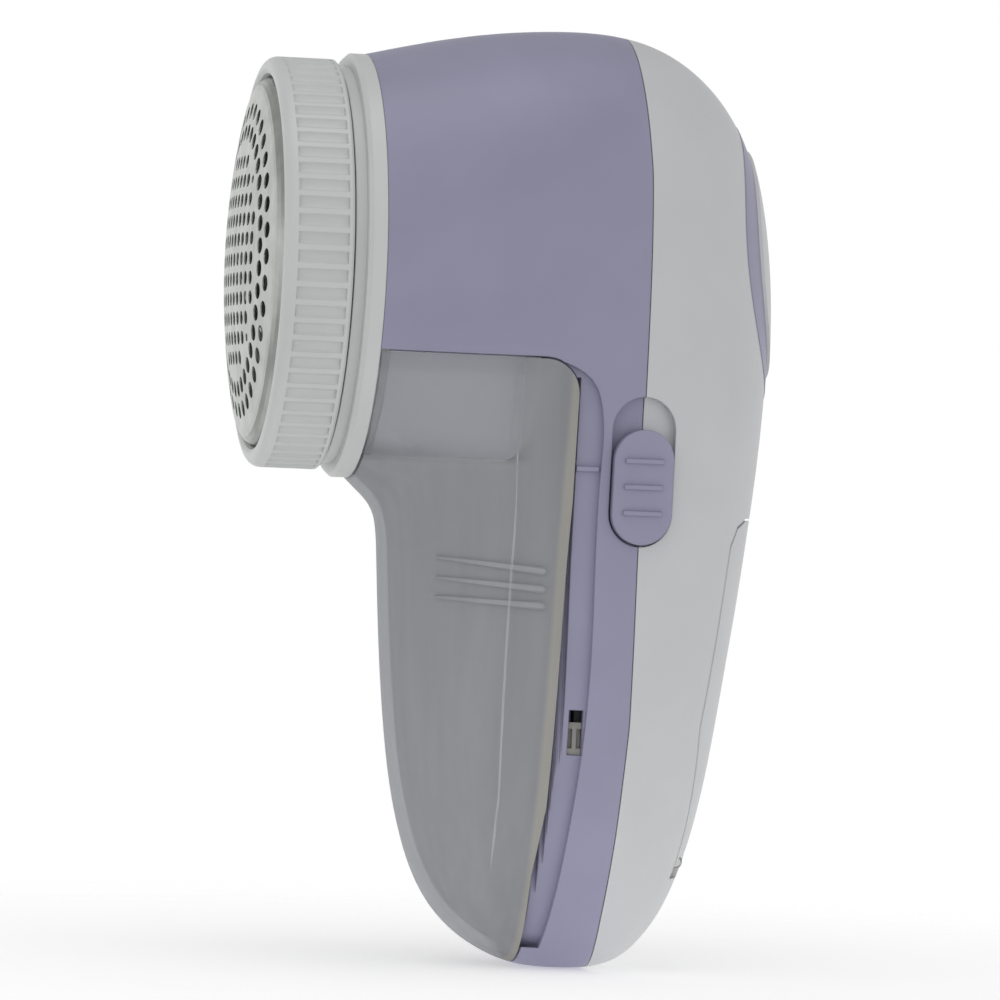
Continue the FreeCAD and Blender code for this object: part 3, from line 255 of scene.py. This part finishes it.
def clear_styrene(name, colour, rim_highlight_colour, sizes):
    """Clear moulded styrene, scuffed inside by lint.

    Light passes, so the duct and the wall behind show as soft shapes. A milky
    film of fine lint lifts the dark inside to a smoky grey, with faint random
    upright streaks painted in to stand for vertical highlights. Over the duct the
    film is thinner and painted lighter, standing for the white duct that shows
    through. The thick rear rim is painted in a paler, warm tone and the crests of
    the finger ridges paler: painted highlights.
    """
    mat, tree, bsdf, coords = blank(name)
    base = linear(colour)
    bsdf.inputs["Base Color"].default_value = base
    bsdf.inputs["Transmission Weight"].default_value = 1.0
    bsdf.inputs["IOR"].default_value = BIN_IOR
    haze = noise(tree, coords, 0.006, 3.0)
    tree.links.new(ramp(tree, haze, 0.10, 0.16), bsdf.inputs["Roughness"])
    scuff = noise(tree, coords, 0.0006, 3.0)
    relief(tree, bsdf, scuff, BIN_SCUFF, sizes.edge_soft)
    split = add(tree, "ShaderNodeSeparateXYZ")
    tree.links.new(coords, split.inputs["Vector"])
    x = split.outputs["X"]
    z = split.outputs["Z"]
    # mask of the painted highlight on the thick rear rim
    rim = ramp(tree, maths(tree, "MULTIPLY_ADD", z, -RIM_LEAN, x), 0.0, 1.0, RIM_START, RIM_START + RIM_BLUR)
    # mask of the zone over the duct, where the film is thinner and painted lighter to stand for the white duct
    # showing through
    above = ramp(tree, z, 0.0, 1.0, DUCT_LOW, DUCT_LOW + DUCT_BLUR_LOW)
    ahead = ramp(tree, x, 1.0, 0.0, DUCT_REAR - DUCT_BLUR_REAR, DUCT_REAR)
    duct_light_mask = maths(tree, "MULTIPLY", above, ahead)
    # upright streaks of the film, random and painted to stand for vertical highlights
    streak_sheen = noise(tree, stretched(tree, coords, (1.0, 1.0, 0.12)), STREAK_WIDTH, 2.0)
    low = ramp(tree, z, FILM_LOW, FILM_HIGH, 0.005, 0.060)
    film_with_streak_sheen = maths(tree, "ADD", low, ramp(tree, streak_sheen, -STREAK_SHEEN_SHARE, STREAK_SHEEN_SHARE))
    film_share_with_duct_light = add(tree, "ShaderNodeMix")
    tree.links.new(duct_light_mask, film_share_with_duct_light.inputs[0])
    tree.links.new(film_with_streak_sheen, film_share_with_duct_light.inputs[2])
    film_share_with_duct_light.inputs[3].default_value = FILM_OVER_DUCT
    # paler film on the thick rear rim: a painted highlight
    share = maths(tree, "MULTIPLY_ADD", rim, RIM_HIGHLIGHT_SHARE, film_share_with_duct_light.outputs[0], clamp=True)
    # paler film along the crests of the finger ridges: a painted highlight
    share = maths(tree, "MULTIPLY_ADD", ridge_highlight_mask(tree, x, z), RIDGE_HIGHLIGHT_SHARE, share, clamp=True)
    # film tone, painted lighter over the duct
    film_tone_with_duct_light = blend(tree, duct_light_mask, shade(base, FILM_SHADE), shade(base, DUCT_LIGHT_TONE))
    # warm pale tone painted on the rear rim as a highlight
    rim_highlight_tint = add(tree, "ShaderNodeMix", {"data_type": "RGBA"})
    rim_highlight_tint.inputs[7].default_value = linear(rim_highlight_colour)
    tree.links.new(rim, rim_highlight_tint.inputs[0])
    tree.links.new(film_tone_with_duct_light, rim_highlight_tint.inputs[6])
    film = add(tree, "ShaderNodeBsdfDiffuse")
    tree.links.new(rim_highlight_tint.outputs[2], film.inputs["Color"])
    see = add(tree, "ShaderNodeBsdfTransparent", Color=BIN_TINT)
    wall = add(tree, "ShaderNodeMixShader", Fac=SEE_SHARE)
    tree.links.new(bsdf.outputs["BSDF"], wall.inputs[1])
    tree.links.new(see.outputs["BSDF"], wall.inputs[2])
    both = add(tree, "ShaderNodeMixShader")
    tree.links.new(share, both.inputs["Fac"])
    tree.links.new(wall.outputs["Shader"], both.inputs[1])
    tree.links.new(film.outputs["BSDF"], both.inputs[2])
    tree.links.new(both.outputs["Shader"], tree.nodes["Material Output"].inputs["Surface"])
    return mat


def drawn_steel(name, colour, sizes, rough, lines, depth=0.0000015):
    """Sheet or bar steel with fine lines left by drawing and grinding.

    The lines pull highlights out across them; cloudy handling marks dull
    parts of the surface.
    """
    mat, tree, bsdf, coords = blank(name)
    base = linear(colour)
    bsdf.inputs["Metallic"].default_value = 1.0
    line = noise(tree, stretched(tree, coords, lines), sizes.brush_width * 4, 3.0)
    cloud = noise(tree, coords, 0.004, 3.0)
    tint = blend(tree, ramp(tree, cloud, 0.0, 1.0), shade(base, 0.86), shade(base, 1.05))
    tree.links.new(tint, bsdf.inputs["Base Color"])
    tree.links.new(ramp(tree, line, rough - 0.05, rough + 0.08), bsdf.inputs["Roughness"])
    relief(tree, bsdf, line, depth, sizes.edge_soft * 0.4)
    return mat


def plated(name, colour, sizes, rough):
    """Bright zinc or nickel plating: small mirror with a faintly pitted skin."""
    mat, tree, bsdf, coords = blank(name)
    base = linear(colour)
    bsdf.inputs["Metallic"].default_value = 1.0
    pits = noise(tree, coords, 0.0003, 3.0)
    tint = blend(tree, ramp(tree, pits, 0.0, 1.0), shade(base, 0.9), base)
    tree.links.new(tint, bsdf.inputs["Base Color"])
    tree.links.new(ramp(tree, pits, rough, rough + 0.12), bsdf.inputs["Roughness"])
    relief(tree, bsdf, pits, 0.000003, sizes.edge_soft * 0.5)
    return mat


def plates(name, colour, sizes):
    """Stamped silicon steel plates, stacked: dark lines run round the stack."""
    mat, tree, bsdf, coords = blank(name)
    base = linear(colour)
    bsdf.inputs["Metallic"].default_value = 0.9
    bsdf.inputs["Roughness"].default_value = 0.42
    wave = add(tree, "ShaderNodeTexWave", {"bands_direction": "X"}, Scale=0.3142 / sizes.plate_step)
    tree.links.new(coords, wave.inputs["Vector"])
    tree.links.new(blend(tree, ramp(tree, wave.outputs["Fac"], 0.0, 1.0, 0.1, 0.5), shade(base, 0.35), base),
                   bsdf.inputs["Base Color"])
    relief(tree, bsdf, wave.outputs["Fac"], 0.00003)
    return mat


def wound(name, colour, sizes):
    """Enamelled copper wire lying side by side: glossy ridges, amber in the gaps."""
    mat, tree, bsdf, coords = blank(name)
    base = linear(colour)
    bsdf.inputs["Metallic"].default_value = 0.85
    bsdf.inputs["Roughness"].default_value = 0.28
    bsdf.inputs["Coat Weight"].default_value = 0.6
    wave = add(tree, "ShaderNodeTexWave", {"bands_direction": "DIAGONAL"}, Scale=0.3142 / sizes.wire_step,
               Distortion=0.6)
    tree.links.new(coords, wave.inputs["Vector"])
    tree.links.new(blend(tree, wave.outputs["Fac"], shade(base, 0.3), base), bsdf.inputs["Base Color"])
    relief(tree, bsdf, wave.outputs["Fac"], 0.00006)
    return mat


def sintered(name, colour, sizes, metallic, rough):
    """Pressed and sintered powder: matt, with tiny open pores."""
    mat, tree, bsdf, coords = blank(name)
    base = linear(colour)
    bsdf.inputs["Metallic"].default_value = metallic
    pores = noise(tree, coords, 0.00025, 5.0, 0.7)
    tree.links.new(blend(tree, ramp(tree, pores, 0.0, 1.0), shade(base, 0.6), base), bsdf.inputs["Base Color"])
    tree.links.new(ramp(tree, pores, rough - 0.08, rough + 0.08), bsdf.inputs["Roughness"])
    relief(tree, bsdf, pores, 0.00002, sizes.edge_soft)
    return mat


def shrunk_film(name, colour, zinc_colour):
    """Shrunk plastic film on a steel can: coloured gloss with a bare steel band at each end."""
    mat, tree, bsdf, coords = blank(name)
    base = linear(colour)
    split = add(tree, "ShaderNodeSeparateXYZ")
    tree.links.new(coords, split.inputs["Vector"])
    low = ramp(tree, split.outputs["Z"], 0.0, 1.0, 0.0195, 0.0196)
    high = ramp(tree, split.outputs["Z"], 1.0, 0.0, 0.0640, 0.0641)
    film = maths(tree, "MULTIPLY", low, high)
    scuff = noise(tree, coords, 0.002, 3.0)
    tree.links.new(blend(tree, film, linear(zinc_colour), base), bsdf.inputs["Base Color"])
    tree.links.new(maths(tree, "SUBTRACT", 1.0, film), bsdf.inputs["Metallic"])
    tree.links.new(ramp(tree, scuff, 0.22, 0.38), bsdf.inputs["Roughness"])
    relief(tree, bsdf, scuff, 0.00001)
    return mat


def foamed(name, colour, sizes):
    """Closed-cell foam: no sheen, a skin of small bubbles."""
    mat, tree, bsdf, coords = blank(name)
    base = linear(colour)
    cells = add(tree, "ShaderNodeTexVoronoi", Scale=1.0 / sizes.foam_cell)
    tree.links.new(coords, cells.inputs["Vector"])
    tree.links.new(blend(tree, ramp(tree, cells.outputs["Distance"], 0.0, 1.0, 0.1, 0.8), shade(base, 0.5),
                         shade(base, 1.4)), bsdf.inputs["Base Color"])
    bsdf.inputs["Roughness"].default_value = 0.92
    relief(tree, bsdf, cells.outputs["Distance"], 0.0001)
    return mat


def insulated(name, colour):
    """Soft PVC round a lead: waxy, slightly uneven from the extruder."""
    mat, tree, bsdf, coords = blank(name)
    base = linear(colour)
    wax = noise(tree, coords, 0.0015, 2.0)
    tree.links.new(blend(tree, wax, shade(base, 0.85), shade(base, 1.1)), bsdf.inputs["Base Color"])
    tree.links.new(ramp(tree, wax, 0.35, 0.5), bsdf.inputs["Roughness"])
    relief(tree, bsdf, wax, 0.00002)
    return mat


# ---------------------------------------------------------------- studio
def backdrop(name, colour):
    """Matt paper on a light table: it glows a little, holds a soft shadow and fades out with distance."""
    mat, tree, bsdf, coords = blank(name)
    base = linear(colour)
    fibre = noise(tree, coords, 0.02, 3.0)
    tree.links.new(blend(tree, fibre, shade(base, 0.985), base), bsdf.inputs["Base Color"])
    bsdf.inputs["Roughness"].default_value = 0.9
    bsdf.inputs["Specular IOR Level"].default_value = 0.0
    bsdf.inputs["Emission Color"].default_value = (1.0, 1.0, 1.0, 1.0)
    bsdf.inputs["Emission Strength"].default_value = FLOOR_GLOW
    reach = add(tree, "ShaderNodeVectorMath", {"operation": "LENGTH"})
    tree.links.new(coords, reach.inputs[0])
    fade = add(tree, "ShaderNodeMapRange", {"interpolation_type": "SMOOTHSTEP"}, From_Min=FLOOR_SOLID,
               From_Max=FLOOR_GONE, To_Min=1.0, To_Max=0.0)
    tree.links.new(reach.outputs["Value"], fade.inputs["Value"])
    tree.links.new(fade.outputs["Result"], bsdf.inputs["Alpha"])
    return mat


def soft_room(name):
    """White air that is brightest in a band at eye level and dimmer above and below it."""
    world = bpy.data.worlds.new(name)
    world.use_nodes = True
    tree = world.node_tree
    air = tree.nodes["Background"]
    coords = add(tree, "ShaderNodeTexCoord")
    split = add(tree, "ShaderNodeSeparateXYZ")
    tree.links.new(coords.outputs["Generated"], split.inputs["Vector"])
    height = maths(tree, "ABSOLUTE", split.outputs["Z"])
    glow = add(tree, "ShaderNodeMapRange", {"interpolation_type": "SMOOTHSTEP"}, From_Min=BAND_TOP,
               From_Max=REST_START, To_Min=ROOM_BAND, To_Max=ROOM_REST)
    tree.links.new(height, glow.inputs["Value"])
    tree.links.new(glow.outputs["Result"], air.inputs["Strength"])
    air.inputs["Color"].default_value = (1.0, 1.0, 1.0, 1.0)
    return world


# ---------------------------------------------------------------- operators
class SHAVER_OT_shells(bpy.types.Operator):
    """Finish the two shells, the battery cover, the switch and the back panel"""
    bl_idname = "shaver.shells"
    bl_label = "Shells"

    def execute(self, context):
        c = context.scene.shaver_colours
        s = context.scene.shaver_sizes
        lilac = moulded("Lilac ABS, satin etched", c.lilac, s, 0.42)
        white = moulded("White ABS, satin etched", c.white, s, 0.45, 0.02)
        wear(lilac, "front_housing", "accent_ring", "switch_knob")
        wear(white, "rear_housing", "badge_panel", "battery_cover")
        return {"FINISHED"}


class SHAVER_OT_head(bpy.types.Operator):
    """Finish the guard ring, collar, foil and chamber"""
    bl_idname = "shaver.head"
    bl_label = "Shaving head"

    def execute(self, context):
        c = context.scene.shaver_colours
        s = context.scene.shaver_sizes
        ring = moulded("White ABS, ring", c.ring, s, 0.38, 0.02)
        wear(ring, "guard_ring", "collar", "foil_frame", "chamber_wall")
        foil = drawn_steel("Stainless foil, stamped", c.foil, s, 0.33, (1.0, 1.0, 0.08))
        wear(foil, "shaving_foil")
        return {"FINISHED"}


class SHAVER_OT_cutter(bpy.types.Operator):
    """Finish the blades, their carrier, the shaft, the coupling and the motor's end cap"""
    bl_idname = "shaver.cutter"
    bl_label = "Cutter"

    def execute(self, context):
        c = context.scene.shaver_colours
        s = context.scene.shaver_sizes
        wear(drawn_steel("Stainless, ground", c.blade, s, 0.25, (0.1, 1.0, 1.0)), "blades", "motor_shaft")
        wear(moulded("Grey acetal", c.acetal, s, 0.45), "blade_carrier", "drive_coupling", "motor_end_cap")
        return {"FINISHED"}


class SHAVER_OT_bin(bpy.types.Operator):
    """Finish the clear lint bin and the duct inside it"""
    bl_idname = "shaver.bin"
    bl_label = "Lint bin"

    def execute(self, context):
        c = context.scene.shaver_colours
        s = context.scene.shaver_sizes
        wear(clear_styrene("Clear styrene, scuffed", c.bin, c.rim, s), "lint_bin", "bin_latches")
        wear(moulded("White ABS, duct", c.hood, s, 0.5, 0.02), "lint_hood")
        return {"FINISHED"}


class SHAVER_OT_motor(bpy.types.Operator):
    """Finish the motor and its seat"""
    bl_idname = "shaver.motor"
    bl_label = "Motor"

    def execute(self, context):
        c = context.scene.shaver_colours
        s = context.scene.shaver_sizes
        wear(plated("Zinc plate, drawn can", c.zinc, s, 0.30), "motor_can")
        wear(sintered("Sintered bronze", c.bronze, s, 1.0, 0.45), "motor_bushes")
        wear(sintered("Sintered ferrite", c.ferrite, s, 0.0, 0.7), "motor_magnets")
        wear(plates("Silicon steel plates", c.lamination, s), "armature")
        wear(wound("Enamelled copper wire", c.copper, s), "rotor_windings")
        wear(plated("Copper, turned", c.copper, s, 0.25), "commutator")
        return {"FINISHED"}


class SHAVER_OT_inside(bpy.types.Operator):
    """Finish the cells, tray, contacts, leads and fasteners"""
    bl_idname = "shaver.inside"
    bl_label = "Inside"

    def execute(self, context):
        c = context.scene.shaver_colours
        s = context.scene.shaver_sizes
        wear(moulded("Black nylon", c.black, s, 0.5, 0.1), "impeller", "motor_cradle", "motor_clamp",
             "battery_tray", "switch_base", "switch_slider")
        wear(shrunk_film("Shrunk film on steel", c.cell, c.can), "battery_left", "battery_right")
        wear(plated("Nickel plated strip", c.nickel, s, 0.2), "contact_link", "contact_positive",
             "contact_negative", "switch_contacts", "motor_terminals")
        wear(plated("Bright zinc plate", c.zinc, s, 0.18), "case_screws", "clamp_screws", "chamber_screws",
             "hinge_pin", "contact_springs", "carrier_cap")
        wear(foamed("Closed-cell foam", c.foam, s), "cover_pad")
        wear(insulated("PVC, red", c.red), "wire_red")
        wear(insulated("PVC, black", c.black), "wire_black")
        wear(insulated("PVC, blue", c.blue), "wire_blue")
        return {"FINISHED"}


class SHAVER_OT_stage(bpy.types.Operator):
    """Set the pale floor, the soft lights and the camera"""
    bl_idname = "shaver.stage"
    bl_label = "Studio"

    def execute(self, context):
        c = context.scene.shaver_colours
        s = context.scene.shaver_sizes
        scene = context.scene
        scene.view_settings.view_transform = "Standard"
        bpy.ops.mesh.primitive_circle_add(vertices=96, radius=0.6, fill_type="NGON", location=(0, 0, -0.0002))
        floor = context.object
        floor.name = "studio_floor"
        floor.data.materials.append(backdrop("Paper backdrop, matt", c.floor))
        scene.world = soft_room("studio_air")
        middle = Vector(VIEW_MIDDLE)
        for name, place, power in LAMPS:
            lamp = bpy.data.lights.new("studio_" + name, "AREA")
            lamp.shape = "SQUARE"
            lamp.size = LAMP_WIDTH
            lamp.energy = power
            holder = bpy.data.objects.new("studio_" + name, lamp)
            scene.collection.objects.link(holder)
            holder.location = place
            holder.rotation_euler = (middle - Vector(place)).to_track_quat("-Z", "Y").to_euler()
        camera = bpy.data.cameras.new("studio_camera")
        holder = bpy.data.objects.new("studio_camera", camera)
        scene.collection.objects.link(holder)
        turn = math.radians(VIEW_TURN)
        back = Vector((math.sin(turn), -math.cos(turn), 0.0))
        place = middle + back * s.view_distance
        facing = back.to_track_quat("Z", "Y").to_matrix().to_4x4()
        roll = Matrix.Rotation(math.radians(VIEW_ROLL), 4, "Z")
        holder.matrix_world = Matrix.Translation(place) @ facing @ roll
        camera.sensor_width = SENSOR
        camera.lens = SENSOR * s.view_distance / s.view_width
        camera.clip_end = 20.0
        scene.camera = holder
        return {"FINISHED"}


class SHAVER_PT_panel(bpy.types.Panel):
    """Colours, sizes and steps of the shaver's looks"""
    bl_idname = "SHAVER_PT_panel"
    bl_label = "Fabric shaver"
    bl_space_type = "VIEW_3D"
    bl_region_type = "UI"
    bl_category = "Shaver"

    def draw(self, context):
        layout = self.layout
        for group in (context.scene.shaver_colours, context.scene.shaver_sizes):
            column = layout.column(align=True)
            for key in group.__annotations__:
                column.prop(group, key)
        for step in STEPS:
            layout.operator(step.bl_idname)


STEPS = (SHAVER_OT_shells, SHAVER_OT_head, SHAVER_OT_cutter, SHAVER_OT_bin, SHAVER_OT_motor, SHAVER_OT_inside,
         SHAVER_OT_stage)
CLASSES = (ShaverColours, ShaverSizes, *STEPS, SHAVER_PT_panel)


def register():
    for cls in CLASSES:
        bpy.utils.register_class(cls)
    bpy.types.Scene.shaver_colours = PointerProperty(type=ShaverColours)
    bpy.types.Scene.shaver_sizes = PointerProperty(type=ShaverSizes)


def unregister():
    del bpy.types.Scene.shaver_colours
    del bpy.types.Scene.shaver_sizes
    for cls in reversed(CLASSES):
        bpy.utils.unregister_class(cls)


def main():
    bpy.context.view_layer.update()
    register()
    for step in STEPS:
        group, name = step.bl_idname.split(".")
        getattr(getattr(bpy.ops, group), name)()


if __name__ == "__main__":
    main()
